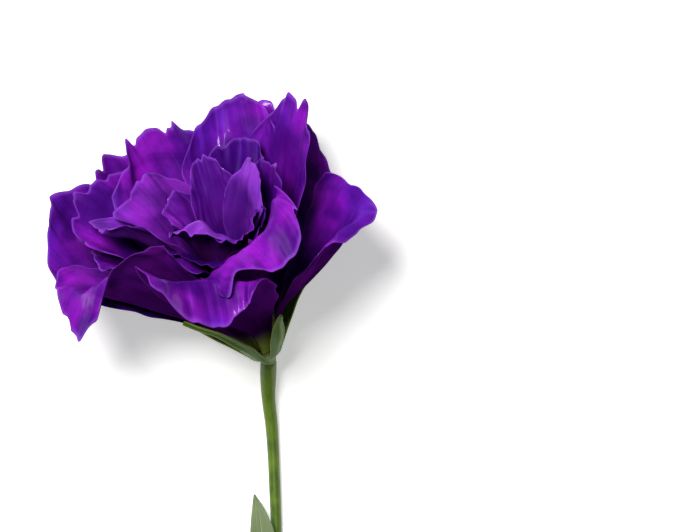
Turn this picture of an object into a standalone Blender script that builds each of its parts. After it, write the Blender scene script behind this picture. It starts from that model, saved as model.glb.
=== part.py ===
"""Double lisianthus flower, picked with its stem and two leaves and lying on a flat surface.

Metres, +Z up.  The surface is z = 0 and the origin is the middle of the box around the flower.
The stem runs towards -Y and the bloom opens towards +Y and up.  Petals, sepals, stamens and pistil
are modelled upright in the frame of the bloom, whose +Z is the bloom's own axis and whose origin is
the top of the stem, and an empty then leans the bloom over.
"""

import math

import bpy
from mathutils import Matrix, Vector

MM = 0.001

# How the bloom lies: its axis leans to -X and rises from the surface.
BLOOM_LEAN = math.radians(20)
BLOOM_RISE = math.radians(33)
CALYX_HEIGHT = 10.9 * MM

# Thickness of each kind of leaf-like piece.
PETAL_THICK = 0.5 * MM
SEPAL_THICK = 0.7 * MM
LEAF_THICK = 0.7 * MM

# Each ring of petals lies in a surface round the bloom's axis.  FOOT is the (radius, height) in
# millimetres where its petals grow from the receptacle.  The surface is given by upright profiles at
# some azimuths (degrees, counted from +X to +Y): five evenly shared (radius, height) points from the
# foot to the rim.  The front of the bloom, which faces up, is round 270, and its back lies at 90.
FOOT = {1: (4.7, 0.0), 2: (3.9, 0.7), 3: (3.1, 1.4), 4: (2.3, 2.1)}
SURFACE = {
    1: {
        5: [(9.5, 9), (20, 16), (30, 24), (36, 30.5), (39, 35.5)],
        25: [(11, 10), (22, 19), (31, 28), (36, 36), (38, 43)],
        62: [(14, 7), (26, 16), (36, 26), (43, 35), (46.5, 44)],
        90: [(13, 10), (22, 20), (29, 30), (34, 40), (37, 48)],
        118: [(14, 7), (26, 16), (36, 26), (43, 35), (46.5, 45)],
        130: [(13.5, 8.5), (25, 17.5), (34, 27.5), (39.5, 38.5), (42, 49)],
        138: [(13.3, 9.3), (24.5, 18.5), (33.5, 29), (38.5, 41.5), (40, 53.5)],
        144: [(13, 9.7), (24, 19), (34, 29), (40, 41), (42.5, 51.5)],
        150: [(13, 10), (24, 19), (34, 29), (41.5, 40), (45.2, 50)],
        160: [(13, 10.5), (24, 20), (34, 30), (41, 39.5), (44.2, 48)],
        168: [(12.5, 11), (23.5, 21), (33.5, 30), (41, 37.5), (45.5, 43)],
        178: [(12, 11), (23, 21), (33, 29.5), (41, 35), (47, 38.5)],
        187: [(11.6, 11), (22.2, 21.5), (32, 31), (40.5, 37.5), (47, 33.5)],
        196: [(11, 11.5), (21.2, 22.5), (30.5, 33.5), (38, 41), (48.5, 29)],
        202: [(10.2, 12), (19.5, 23.5), (27.8, 35.5), (34.5, 43.5), (43.5, 33)],
        208: [(9.6, 12), (18, 24), (25, 36.5), (30.5, 45), (34.5, 48)],
        216: [(9, 12), (17, 25), (22.5, 37), (26, 46), (28.5, 51.5)],
        224: [(8.7, 12), (16, 24.5), (21, 36.5), (23.5, 45), (25.5, 49.5)],
        233: [(8.5, 12), (15.5, 24), (20.8, 35.5), (25.5, 43), (32.5, 40)],
        244: [(8.2, 12), (14.5, 23.5), (19, 34), (23.5, 40), (32.5, 31.5)],
        256: [(8, 12), (13.5, 22.5), (17.5, 32), (22, 37), (30, 28)],
        268: [(8, 12), (13.5, 22), (17.8, 30.5), (22, 35.5), (29, 30.5)],
        284: [(8, 12), (13.8, 21), (18.4, 29), (22.5, 34), (26, 34.5)],
        305: [(8, 11), (14.6, 19.5), (21, 27), (25.5, 32), (28, 36)],
        325: [(8, 10.5), (15.8, 18), (23, 25.5), (27.5, 31.5), (29.5, 33.5)],
        338: [(8, 10), (16.8, 17.5), (24.5, 25), (29.5, 31), (33.5, 28)],
        350: [(8.8, 9.5), (18.5, 16.3), (28, 23.5), (35.5, 31.3), (40.5, 30.5)],
    },
    2: {
        0: [(8, 12), (14, 24), (19, 34), (23, 42), (26, 48)],
        36: [(9, 12), (16, 24), (24, 35), (31, 46), (38, 56)],
        64: [(9, 12), (16, 24), (23, 35), (29.5, 45), (36, 54)],
        90: [(9, 12), (15, 24), (21, 35), (26, 45), (31, 54)],
        112: [(9, 12), (15, 24), (21, 35), (27, 46), (32, 56)],
        130: [(9, 12), (16, 24), (23, 35), (28.5, 46), (31, 55)],
        148: [(9, 12), (17, 24), (25, 35), (32, 45), (37.5, 53)],
        168: [(9, 12), (17, 23), (25, 33), (32, 41), (38.5, 46.5)],
        185: [(8.5, 12), (15.5, 23), (22.5, 33), (28.5, 41.5), (34, 44)],
        203: [(7.5, 12), (12.5, 23), (17.3, 33), (21.5, 41), (27.5, 42)],
        222: [(6.8, 12), (11, 23), (14, 32.5), (16.5, 39), (20.5, 41)],
        242: [(6.8, 12), (10.5, 23), (13.5, 31), (16.5, 36), (21, 35)],
        258: [(6.8, 12), (11, 23), (14, 32), (18.5, 38.5), (28.5, 37.5)],
        270: [(6.8, 12), (11, 23), (13.5, 32), (16.5, 39), (25, 39)],
        290: [(6.8, 12), (11, 24), (14.5, 34.5), (19, 41.5), (28.8, 38.5)],
        305: [(7, 12), (11.5, 25), (16.5, 37), (22, 44.5), (31.5, 40)],
        320: [(7, 12), (11.5, 25), (16.5, 38), (21.5, 47.5), (28.6, 44)],
        335: [(7.5, 13), (12, 26), (15.5, 38), (19, 47), (22, 53)],
    },
    3: {
        20: [(5.3, 12), (9, 23), (13, 34), (16, 43), (18, 50)],
        58: [(5.3, 12), (10, 23), (15.5, 33), (21, 41), (25, 49)],
        95: [(5.3, 12), (9.8, 23), (14.5, 34), (18.5, 43), (21, 52)],
        128: [(5.5, 12), (10, 23), (14.5, 33), (17.5, 43), (20, 53)],
        148: [(5.5, 12), (10.5, 23), (15.5, 33), (19.5, 43), (23, 51.5)],
        160: [(5.5, 12), (11, 23), (17, 33), (23, 43), (31, 49.5)],
        172: [(5.5, 12), (10.5, 23), (16, 33), (20.5, 43), (26.5, 49)],
        195: [(5, 12), (9, 23), (12.5, 34), (15.5, 43), (19, 51)],
        207: [(5, 12), (8, 23), (11, 33), (13.2, 41), (15.5, 47.5)],
        225: [(5, 12), (7.3, 23), (9.6, 32), (12, 39), (15, 43.5)],
        255: [(5, 12), (7, 23), (9.5, 31), (13, 36.5), (17.5, 40)],
        285: [(5, 12), (7, 22), (10, 30.5), (13, 37), (15.5, 42)],
        320: [(5, 12), (7.6, 23), (10.6, 32), (13.2, 39.5), (15, 46)],
    },
    4: {
        20: [(3.4, 13), (5.8, 25), (9.2, 36), (11.6, 45), (13.3, 53)],
        50: [(3.4, 13), (5.8, 25), (9.2, 36), (11.6, 44), (13, 51.5)],
        85: [(3.4, 13), (5.5, 25), (9, 36), (12.5, 44), (15.5, 51.5)],
        115: [(3.4, 13), (5.2, 25), (8, 35), (10, 42), (11.5, 49)],
        150: [(3.4, 13), (5, 25), (7.8, 34), (10, 41), (12, 47)],
        190: [(3.4, 13), (4.8, 25), (6.8, 34), (9.5, 42.5), (13.5, 47)],
        215: [(3.4, 13), (4.6, 25), (6, 35), (8, 44), (13.5, 47.5)],
        240: [(3.4, 13), (4.4, 25), (5.4, 35), (6.5, 44.5), (11.5, 46)],
        270: [(3.4, 13), (4.6, 25), (6.2, 35), (8.6, 41.5), (11.8, 44)],
        300: [(3.4, 13), (5, 24), (7.8, 33), (10.4, 38.5), (12.6, 42.5)],
        330: [(3.4, 13), (5.3, 25), (8.4, 35), (10.7, 42), (12.6, 49)],
    },
}

# Middle lines on the surface below: (x, y, z, diameter) of the stem and of the pair of leaves' node.
STEM_ROUTE = [
    (1.5, -4.2, 8.0, 4.4),
    (1.35, -9.0, 5.3, 4.2),
    (1.4, -14.5, 3.6, 3.5),
    (2.2, -22.0, 2.3, 3.2),
    (2.7, -30.0, 2.1, 3.0),
    (3.1, -40.0, 2.05, 2.9),
    (3.4, -48.0, 2.0, 2.8),
    (3.6, -60.0, 2.0, 2.8),
    (3.65, -64.0, 2.3, 3.5),
    (3.7, -68.0, 2.0, 2.8),
    (3.9, -78.0, 1.95, 2.75),
    (4.1, -88.0, 1.9, 2.7),
]
LEAF_LEFT = [
    (0.9, -63.6, 2.4),
    (0.35, -57.5, 4.2),
    (-0.3, -50.5, 5.7),
    (-1.2, -44.5, 6.1),
    (-2.3, -39.8, 5.4),
]
LEAF_RIGHT = [
    (6.4, -63.6, 2.4),
    (10.5, -61.0, 3.6),
    (16.0, -57.5, 4.1),
    (21.5, -54.0, 3.7),
    (27.0, -50.5, 2.5),
]

VIOLET = (0.16, 0.02, 0.42)
STEM_GREEN = (0.16, 0.30, 0.05)
LEAF_GREEN = (0.17, 0.30, 0.10)
SEPAL_GREEN = (0.14, 0.26, 0.05)
STYLE_GREEN = (0.45, 0.55, 0.15)
ANTHER_YELLOW = (0.75, 0.55, 0.10)


def clear_scene():
    for old in list(bpy.data.objects):
        bpy.data.objects.remove(old, do_unlink=True)


def material(name, colour, roughness):
    made = bpy.data.materials.get(name) or bpy.data.materials.new(name)
    made.use_nodes = True
    shader = made.node_tree.nodes["Principled BSDF"]
    shader.inputs["Base Color"].default_value = (*colour, 1)
    shader.inputs["Roughness"].default_value = roughness
    shader.inputs["Metallic"].default_value = 0
    return made


def smooth(t):
    t = min(max(t, 0.0), 1.0)
    return t * t * (3 - 2 * t)


def along(points, t):
    """The point at share t of a smooth line through the points, which are tuples of any length."""
    spans = len(points) - 1
    i = min(int(t * spans), spans - 1)
    f = t * spans - i
    p1 = points[i]
    p2 = points[i + 1]
    p0 = points[i - 1] if i > 0 else tuple(2 * a - b for a, b in zip(p1, p2))
    p3 = points[i + 2] if i + 2 < len(points) else tuple(2 * b - a for a, b in zip(p1, p2))
    return tuple(
        0.5 * (2 * b + (c - a) * f + (2 * a - 5 * b + 4 * c - d) * f**2 + (3 * b - a - 3 * c + d) * f**3)
        for a, b, c, d in zip(p0, p1, p2, p3)
    )


def bloom_matrix():
    """From the bloom's own frame to the surface's: +Z becomes the leaning, rising axis."""
    axis = Vector(
        (
            -math.sin(BLOOM_LEAN) * math.cos(BLOOM_RISE),
            math.cos(BLOOM_LEAN) * math.cos(BLOOM_RISE),
            math.sin(BLOOM_RISE),
        )
    )
    right = Vector((math.cos(BLOOM_LEAN), math.sin(BLOOM_LEAN), 0))
    back = axis.cross(right)
    turn = Matrix((right, back, axis)).transposed().to_4x4()
    return Matrix.Translation((0, 0, CALYX_HEIGHT)) @ turn


def pressed(point):
    """A point of the bloom, moved as the surface below presses up what would sink under it."""
    on_table = bloom_matrix() @ point
    give = 2.2 * MM
    lift = PETAL_THICK * 0.55
    height = on_table.z - lift
    on_table.z = lift + give * math.log1p(math.exp(height / give)) if height < 20 * give else on_table.z
    return bloom_matrix().inverted() @ on_table


def shaped_grid(name, across, length, place):
    """A grid whose points are set by place(u, v), u from -1 to 1 across and v from 0 to 1 along."""
    bpy.ops.mesh.primitive_grid_add(x_subdivisions=across, y_subdivisions=length, size=2)
    made = bpy.context.object
    made.name = name
    made.data.name = name
    for vertex in made.data.vertices:
        vertex.co = place(vertex.co.x, (vertex.co.y + 1) / 2)
    return made


def thicken(made, thickness):
    shell = made.modifiers.new("thickness", "SOLIDIFY")
    shell.thickness = thickness
    shell.offset = 0


def surface(ring, turn, s):
    """(radius, height) in millimetres on a ring's surface at azimuth turn, at share s of the way up."""
    stations = sorted(SURFACE[ring])
    turn %= 360
    after = next((i for i, station in enumerate(stations) if station > turn), 0)
    start = stations[after - 1]
    span = (stations[after] - start) % 360
    share = smooth(((turn - start) % 360) / span)
    r0, z0 = along([FOOT[ring]] + SURFACE[ring][start], s)
    r1, z1 = along([FOOT[ring]] + SURFACE[ring][stations[after]], s)
    return r0 + share * (r1 - r0), z0 + share * (z1 - z0)


def petal(name, ring, azimuth, foot, width, claw, left=0.0, right=0.0, cup=0.0, reach=1.0,
          ruffle=0.6, waves=1.5, phase=0.0, blunt=0.22, folds=(), grid=(11, 11)):
    """One petal, cut from its ring's surface.

    azimuth is where its middle points and foot where its claw stands.  width is half of its widest
    part and claw half of its claw.  left, right and cup move the left edge, the right edge and both
    away from the surface, outwards if positive, so that neighbours pass each other.  Each fold is
    (across, along, spread across, spread along, outwards, upwards) and moves that place of the petal.
    """

    def place(u, v):
        s = reach * v * (1 - blunt * abs(u) ** 2.6)
        half = claw + (width - claw) * smooth((s - 0.05) / 0.62) - 0.12 * width * smooth((s - 0.7) / 0.3)
        turn = foot + ((azimuth - foot + 180) % 360 - 180) * smooth(s / 0.6)
        radius = surface(ring, turn, s)[0]
        turn += math.degrees(u * half / radius)
        low = surface(ring, turn, max(s - 0.02, 0))
        high = surface(ring, turn, min(s + 0.02, 1))
        r, z = surface(ring, turn, s)
        long = math.hypot(high[0] - low[0], high[1] - low[1])
        out = (right * max(u, 0) + left * max(-u, 0) + cup * abs(u) ** 2) * smooth(s * 2.2)
        edge = smooth((s - 0.35) / 0.65) * (0.35 + 0.65 * u * u)
        out += ruffle * edge * math.sin(math.pi * waves * u + phase + 2.2 * s)
        r += out * (high[1] - low[1]) / long
        z -= out * (high[0] - low[0]) / long
        for middle_u, middle_v, spread_u, spread_v, outwards, upwards in folds:
            share = math.exp(-(((u - middle_u) / spread_u) ** 2) - ((v - middle_v) / spread_v) ** 2)
            r += outwards * share
            z += upwards * share
        turn = math.radians(turn)
        return pressed(Vector((r * math.cos(turn), r * math.sin(turn), z)) * MM)

    made = shaped_grid(name, *grid, place)
    thicken(made, PETAL_THICK)
    made.data.materials.append(material("violet_petal", VIOLET, 0.55))
    return made


def outer_petals():
    """Six broad petals round the outside, the two at the back lying on the surface."""
    return [
        petal("outer_petal_left", 1, 153, 163, 21.5, 2.1, left=-1.5, right=1.5, phase=0.6),
        petal("outer_petal_front_left", 1, 198, 223, 20, 2.1, left=-1.5, right=-1.4, blunt=0.1,
              folds=[(1.0, 0.9, 0.45, 0.45, -2.0, 0.5)]),
        petal("outer_petal_front", 1, 256, 283, 13, 2.1, left=3.2, right=0.5, blunt=0.06,
              folds=[(-1.0, 0.84, 0.4, 0.14, 5, 6), (-1.0, 1.05, 0.4, 0.14, 5, 7)]),
        petal("outer_petal_right", 1, 352, 343, 19, 2.1, left=0.5, right=-1.5),
        petal("outer_petal_back_right", 1, 56, 43, 23, 2.1, left=1.5, right=-1.5, phase=2.0),
        petal("outer_petal_back_left", 1, 112, 103, 23, 2.1, left=1.5, right=1.5, phase=4.0),
    ]


def second_petals():
    """Six petals inside the outer ones, the front right one folded over the rim."""
    return [
        petal("second_petal_front_right", 2, 297, 295, 18, 1.7, left=0.1, right=-1.2, blunt=0.12),
        petal("second_petal_right", 2, 33, 355, 14, 1.7, left=1.2, right=-1.2),
        petal("second_petal_back_right", 2, 68, 55, 15.5, 1.7, left=1.2, right=-1.2, phase=1.0),
        petal("second_petal_back_left", 2, 108, 115, 17.5, 1.7, left=1.2, right=-1.2, phase=2.0),
        petal("second_petal_left", 2, 151, 175, 17, 1.7, left=1.2, right=-1.2, phase=3.0),
        petal("second_petal_front_left", 2, 203, 235, 15, 1.7, left=1.7, right=-1.6, phase=1.0),
    ]


def third_petals():
    """Six narrower petals that stand round the middle."""
    azimuths = [(243, 248), (300, 308), (14, 8), (62, 66), (136, 128), (174, 188)]
    names = ["front", "front_right", "right", "back_right", "back_left", "left"]
    return [
        petal("third_petal_" + name, 3, azimuth, foot, 11.5, 1.3, left=1.3, right=-1.3, ruffle=0.4,
              phase=i, grid=(11, 10))
        for i, (name, (azimuth, foot)) in enumerate(zip(names, azimuths))
    ]


def inner_petals():
    """Five small petals close round the stamens."""
    azimuths = [(228, 246, 8.5), (294, 318, 8.5), (12, 20, 10.5), (84, 92, 8.5), (146, 164, 8.5)]
    names = ["front_left", "front_right", "right", "back", "left"]
    return [
        petal("inner_petal_" + name, 4, azimuth, foot, width, 1.1, left=0.9, right=-0.9, ruffle=0.3,
              phase=i, grid=(10, 10))
        for i, (name, (azimuth, foot, width)) in enumerate(zip(names, azimuths))
    ]


def sepals():
    """Five narrow pointed sepals under the outer petals, each with a fold along its middle."""
    made = []
    tips = [(90, 0.42), (158, 0.42), (207, 0.42), (304, 0.30), (14, 0.38)]
    for number, (azimuth, reach) in enumerate(tips):

        def place(u, v, foot=90 + 72 * number, azimuth=azimuth, reach=reach):
            s = v * reach
            azimuth = foot + ((azimuth - foot + 180) % 360 - 180) * smooth(v)
            r, z = surface(1, azimuth, s)
            low = surface(1, azimuth, max(s - 0.02, 0))
            high = surface(1, azimuth, s + 0.02)
            long = math.hypot(high[0] - low[0], high[1] - low[1])
            out = 1.15 + 1.3 * smooth(v * 2) + 0.5 * (1 - abs(u)) * smooth(v * 3)
            half = (1.9 + 0.5 * smooth(v * 3)) * (1 - v**2.2) + 0.25
            r += out * (high[1] - low[1]) / long
            z -= out * (high[0] - low[0]) / long
            turn = math.radians(azimuth) + u * half / r
            return pressed(Vector((r * math.cos(turn), r * math.sin(turn), z - 0.6 * (1 - v))) * MM)

        blade = shaped_grid(f"sepal_{number + 1}", 4, 8, place)
        thicken(blade, SEPAL_THICK)
        blade.data.materials.append(material("sepal_green", SEPAL_GREEN, 0.5))
        made.append(blade)
    return made


def turned(name, profile, steps, smooth_angle=40):
    """A turned solid from (radius, height) points in millimetres, top first."""
    mesh = bpy.data.meshes.new(name)
    points = [(r * MM, 0, z * MM) for r, z in profile]
    mesh.from_pydata(points, [(i, i + 1) for i in range(len(points) - 1)], [])
    made = bpy.data.objects.new(name, mesh)
    bpy.context.scene.collection.objects.link(made)
    lathe = made.modifiers.new("lathe", "SCREW")
    lathe.steps = steps
    lathe.render_steps = steps
    lathe.use_merge_vertices = True
    lathe.merge_threshold = 0.00005
    return made


def receptacle():
    """The green swelling at the top of the stem that everything grows from."""
    made = turned(
        "receptacle",
        [(0, 2.0), (1.4, 2.0), (2.6, 1.2), (3.4, 0.4), (4.2, -0.4), (4.9, -0.8), (4.7, -2.0),
         (3.6, -3.4), (2.3, -4.6), (0, -4.6)],
        20,
    )
    made.data.materials.append(material("stem_green", STEM_GREEN, 0.5))
    return made


def pistil():
    """The green ovary with its style, and a stigma drawn out to two lobes."""
    made = turned(
        "pistil",
        [(0, 23.2), (0.9, 23.0), (1.7, 22.2), (1.2, 21.6), (0.5, 21.0), (0.45, 15.5), (1.0, 13.5),
         (1.25, 9.5), (1.0, 5.5), (0.7, 2.35), (0, 2.35)],
        12,
    )
    bpy.context.view_layer.objects.active = made
    made.select_set(True)
    bpy.ops.object.modifier_apply(modifier="lathe")
    for vertex in made.data.vertices:
        if vertex.co.z > 21.4 * MM:
            vertex.co.x *= 1.15
            vertex.co.y *= 0.5
            vertex.co.z -= 0.5 * MM * (1 - min(abs(vertex.co.x) / (1.2 * MM), 1))
    made.data.materials.append(material("style_green", STYLE_GREEN, 0.5))
    return made


def stamens():
    """Five thin filaments round the pistil, each with its anther on top."""
    anther = [(0, 17.6), (0.45, 17.3), (0.65, 16.3), (0.6, 14.9), (0.3, 14.3)]
    filament = [(0.3, 7.0), (0.3, 0.0), (0, 0.0)]
    made = []
    for number in range(5):
        stamen = turned(f"stamen_{number + 1}", anther + filament, 8)
        azimuth = math.radians(18 + 72 * number)
        foot = Matrix.Translation((1.36 * MM, 0, 2.45 * MM)) @ Matrix.Rotation(math.radians(4.5), 4, "Y")
        stamen.matrix_world = Matrix.Rotation(azimuth, 4, "Z") @ foot
        stamen.data.materials.append(material("anther_yellow", ANTHER_YELLOW, 0.6))
        made.append(stamen)
    return made


def stem():
    """A tube along the stem's route, thicker at its top and at the leaves' node."""
    curve = bpy.data.curves.new("stem", "CURVE")
    curve.dimensions = "3D"
    curve.bevel_depth = 1.0
    curve.bevel_resolution = 3
    curve.use_fill_caps = True
    spline = curve.splines.new("POLY")
    steps = 2 * (len(STEM_ROUTE) - 1)
    spline.points.add(steps)
    for i, point in enumerate(spline.points):
        x, y, z, diameter = along(STEM_ROUTE, i / steps)
        point.co = (x * MM, y * MM, z * MM, 1)
        point.radius = diameter / 2 * MM
    made = bpy.data.objects.new("stem", curve)
    bpy.context.scene.collection.objects.link(made)
    made.data.materials.append(material("stem_green", STEM_GREEN, 0.5))
    return made


def leaf(name, route, side, width):
    """A stalkless pointed leaf that clasps the node and spreads flat, folded a little along its middle."""

    def place(u, v):
        x, y, z = along(route, v)
        x1, y1, _ = along(route, min(v + 0.02, 1))
        x0, y0, _ = along(route, max(v - 0.02, 0))
        run = Vector((x1 - x0, y1 - y0, 0)).normalized()
        across = Vector((run.y, -run.x, 0)) * -side
        roll = math.radians(72 * (1 - smooth(v / 0.35)) + 8)
        half = (1.0 + (width - 1.0) * smooth(v / 0.45)) * (1.05 - max((v - 0.3) / 0.7, 0) ** 1.6)
        way = across * math.cos(roll) - Vector((0, 0, math.sin(roll)))
        fold = 0.16 * abs(u) ** 1.5 * half
        return (Vector((x, y, z + fold)) + way * (u * half)) * MM

    made = shaped_grid(name, 4, 9, place)
    thicken(made, LEAF_THICK)
    made.data.materials.append(material("leaf_green", LEAF_GREEN, 0.5))
    return made


def settle(pieces, head):
    """Stand everything on z = 0 with the middle of its box over the origin."""
    bpy.context.view_layer.update()
    graph = bpy.context.evaluated_depsgraph_get()
    points = []
    for piece in pieces:
        solid = piece.evaluated_get(graph)
        mesh = solid.to_mesh()
        points += [solid.matrix_world @ vertex.co for vertex in mesh.vertices]
        solid.to_mesh_clear()
    low = Vector(min(point[i] for point in points) for i in range(3))
    high = Vector(max(point[i] for point in points) for i in range(3))
    head.location = (-(low.x + high.x) / 2, -(low.y + high.y) / 2, -low.z)


def build():
    clear_scene()
    flower = bpy.data.collections.new("lisianthus_flower")
    bpy.context.scene.collection.children.link(flower)
    bloom = outer_petals() + second_petals() + third_petals() + inner_petals()
    bloom += sepals() + [receptacle(), pistil()] + stamens()
    lower = [stem(), leaf("leaf_left", LEAF_LEFT, 1, 4.3), leaf("leaf_right", LEAF_RIGHT, -1, 4.3)]
    whole = bpy.data.objects.new("flower_frame", None)
    head = bpy.data.objects.new("bloom_frame", None)
    head.parent = whole
    head.matrix_basis = bloom_matrix()
    for piece in bloom:
        piece.parent = head
    for piece in lower:
        piece.parent = whole
    for made in [whole, head] + bloom + lower:
        for old in list(made.users_collection):
            old.objects.unlink(made)
        flower.objects.link(made)
    settle(bloom + lower, whole)


build()
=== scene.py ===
"""A double lisianthus flower, picked with its stem and a pair of leaves, lying on a pale surface.

The bloom's own frame has its origin where the stem ends and +Z along the bloom's axis.  Petals and
sepals are shaped in that frame, in millimetres, and then laid over on the surface.
"""

import math

import bpy
from mathutils import Matrix, Vector, noise


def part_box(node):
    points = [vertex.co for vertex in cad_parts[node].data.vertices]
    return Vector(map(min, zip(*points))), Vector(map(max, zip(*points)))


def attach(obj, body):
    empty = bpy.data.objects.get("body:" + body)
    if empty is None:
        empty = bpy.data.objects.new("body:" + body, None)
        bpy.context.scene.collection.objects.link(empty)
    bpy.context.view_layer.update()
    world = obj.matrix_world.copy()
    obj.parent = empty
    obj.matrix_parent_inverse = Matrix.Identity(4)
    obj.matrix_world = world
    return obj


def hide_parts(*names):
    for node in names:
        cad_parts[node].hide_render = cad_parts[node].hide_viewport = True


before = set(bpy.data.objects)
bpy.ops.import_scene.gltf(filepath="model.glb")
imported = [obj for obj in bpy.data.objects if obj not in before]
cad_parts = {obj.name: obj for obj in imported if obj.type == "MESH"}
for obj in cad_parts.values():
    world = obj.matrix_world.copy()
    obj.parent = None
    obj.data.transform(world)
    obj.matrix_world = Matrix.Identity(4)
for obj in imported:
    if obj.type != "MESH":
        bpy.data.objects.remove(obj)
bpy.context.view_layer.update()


# ---------------------------------------------------------------------------------------------------
# Receptacle: the green swelling on top of the stem, which carries every petal and sepal.  It is solid
# plant tissue, smooth and slightly ribbed, and it is one growth with the stem.
# ---------------------------------------------------------------------------------------------------
MM = 0.001
# The bloom's axis leans to the left of the stem's line and rises from the surface.
LEAN = math.radians(20)
RISE = math.radians(33)
AXIS = Vector((-math.sin(LEAN) * math.cos(RISE), math.cos(LEAN) * math.cos(RISE), math.sin(RISE)))
SIDE = Vector((math.cos(LEAN), math.sin(LEAN), 0))
low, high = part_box("receptacle")
# The bloom's own origin lies a little above the middle of the receptacle's box.
BLOOM_FOOT = (Vector(low) + Vector(high)) / 2 + Vector((-0.31, 1.25, 0.68)) * MM
BLOOM_TURN = Matrix((SIDE, AXIS.cross(SIDE), AXIS)).transposed().to_4x4()
BLOOM = Matrix.Translation(BLOOM_FOOT) @ BLOOM_TURN


def smooth(t):
    """0 below 0 and 1 above 1, with a soft step between."""
    t = min(max(t, 0.0), 1.0)
    return t * t * (3 - 2 * t)


def grown(name, rings, sides, shape=None):
    """A closed round body, extruded ring by ring.

    rings holds (centre, direction, radius); shape(vertex offset, ring number) may change each offset
    from its ring's centre.
    """
    bpy.ops.object.select_all(action="DESELECT")
    bpy.ops.mesh.primitive_circle_add(vertices=sides, radius=rings[0][2], fill_type="NGON")
    piece = bpy.context.object
    piece.name = name
    piece.data.name = name
    bpy.ops.object.mode_set(mode="EDIT")
    bpy.ops.mesh.select_all(action="SELECT")
    for _ in rings[1:]:
        bpy.ops.mesh.extrude_region_move(TRANSFORM_OT_translate={"value": (0, 0, 0.001)})
    bpy.ops.object.mode_set(mode="OBJECT")
    across = Vector((1, 0, 0))
    for number, (centre, direction, radius) in enumerate(rings):
        direction = direction.normalized()
        across = (across - direction * across.dot(direction)).normalized()
        up = direction.cross(across)
        for i in range(sides):
            turn = 2 * math.pi * i / sides
            offset = across * math.cos(turn) * radius + up * math.sin(turn) * radius
            if shape:
                offset = shape(offset, number, turn)
            piece.data.vertices[number * sides + i].co = centre + offset
    bpy.ops.object.mode_set(mode="EDIT")
    bpy.ops.mesh.select_all(action="SELECT")
    bpy.ops.mesh.normals_make_consistent(inside=False)
    bpy.ops.object.mode_set(mode="OBJECT")
    bpy.ops.object.shade_smooth_by_angle(angle=math.radians(60))
    return piece


def subdivided(piece):
    """Rounds the piece with one subdivision, applied."""
    bpy.ops.object.select_all(action="DESELECT")
    piece.select_set(True)
    bpy.context.view_layer.objects.active = piece
    rounding = piece.modifiers.new("rounding", "SUBSURF")
    rounding.levels = 1
    rounding.render_levels = 1
    bpy.ops.object.modifier_apply(modifier="rounding")


def new_material(name):
    """An empty node material: returns it with its node list, its links and its Principled shader."""
    material = bpy.data.materials.new(name)
    material.use_nodes = True
    nodes = material.node_tree.nodes
    return material, nodes, material.node_tree.links, nodes["Principled BSDF"]


def new_group(name, inputs, outputs):
    """A shader node group with float inputs {name: default} and float outputs [name]."""
    group = bpy.data.node_groups.new(name, "ShaderNodeTree")
    for label, default in inputs.items():
        socket = group.interface.new_socket(label, in_out="INPUT", socket_type="NodeSocketFloat")
        socket.default_value = default
    for label in outputs:
        group.interface.new_socket(label, in_out="OUTPUT", socket_type="NodeSocketFloat")
    return group, group.nodes.new("NodeGroupInput"), group.nodes.new("NodeGroupOutput")


def add_group(nodes, group, **values):
    """The group as a node, with some of its inputs set."""
    node = nodes.new("ShaderNodeGroup")
    node.node_tree = group
    for label, value in values.items():
        node.inputs[label].default_value = value
    return node


def maths(nodes, links, operation, first, second=None, third=None, clamp=False):
    """A maths node: each value is a number or a socket."""
    node = nodes.new("ShaderNodeMath")
    node.operation = operation
    node.use_clamp = clamp
    for socket, value in zip(node.inputs, (first, second, third)):
        if isinstance(value, (int, float)):
            socket.default_value = value
        elif value is not None:
            links.new(value, socket)
    return node.outputs[0]


def mask(nodes, links, value, start, end):
    """0 at start and 1 at end, smooth between."""
    node = nodes.new("ShaderNodeMapRange")
    node.interpolation_type = "SMOOTHSTEP"
    node.inputs["From Min"].default_value = start
    node.inputs["From Max"].default_value = end
    links.new(value, node.inputs["Value"])
    return node.outputs["Result"]


def blend(nodes, links, factor, first, second):
    """A colour mix by a factor socket: first and second are (r, g, b) or a colour socket."""
    node = nodes.new("ShaderNodeMix")
    node.data_type = "RGBA"
    links.new(factor, node.inputs["Factor"])
    for label, value in (("A", first), ("B", second)):
        socket = next(s for s in node.inputs if s.name == label and s.type == "RGBA")
        if isinstance(value, tuple):
            socket.default_value = (*value, 1)
        else:
            links.new(value, socket)
    return next(s for s in node.outputs if s.type == "RGBA")


def skin_grain_group():
    """Soft blotches and a finer grain, both from the piece's own place, for every skin."""
    group, start, end = new_group("plant_skin_grain", {"Blotch Scale": 120.0, "Grain Scale": 900.0},
                                  ["Blotch", "Grain"])
    nodes = group.nodes
    place = nodes.new("ShaderNodeTexCoord")
    for label, scale in (("Blotch", "Blotch Scale"), ("Grain", "Grain Scale")):
        cloud = nodes.new("ShaderNodeTexNoise")
        cloud.inputs["Detail"].default_value = 4
        group.links.new(place.outputs["Object"], cloud.inputs["Vector"])
        group.links.new(start.outputs[scale], cloud.inputs["Scale"])
        group.links.new(cloud.outputs["Fac"], end.inputs[label])
    return group


SKIN_GRAIN = skin_grain_group()
# How high the grain stands on a smooth skin, in metres.
SKIN_RELIEF = 0.00006


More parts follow.
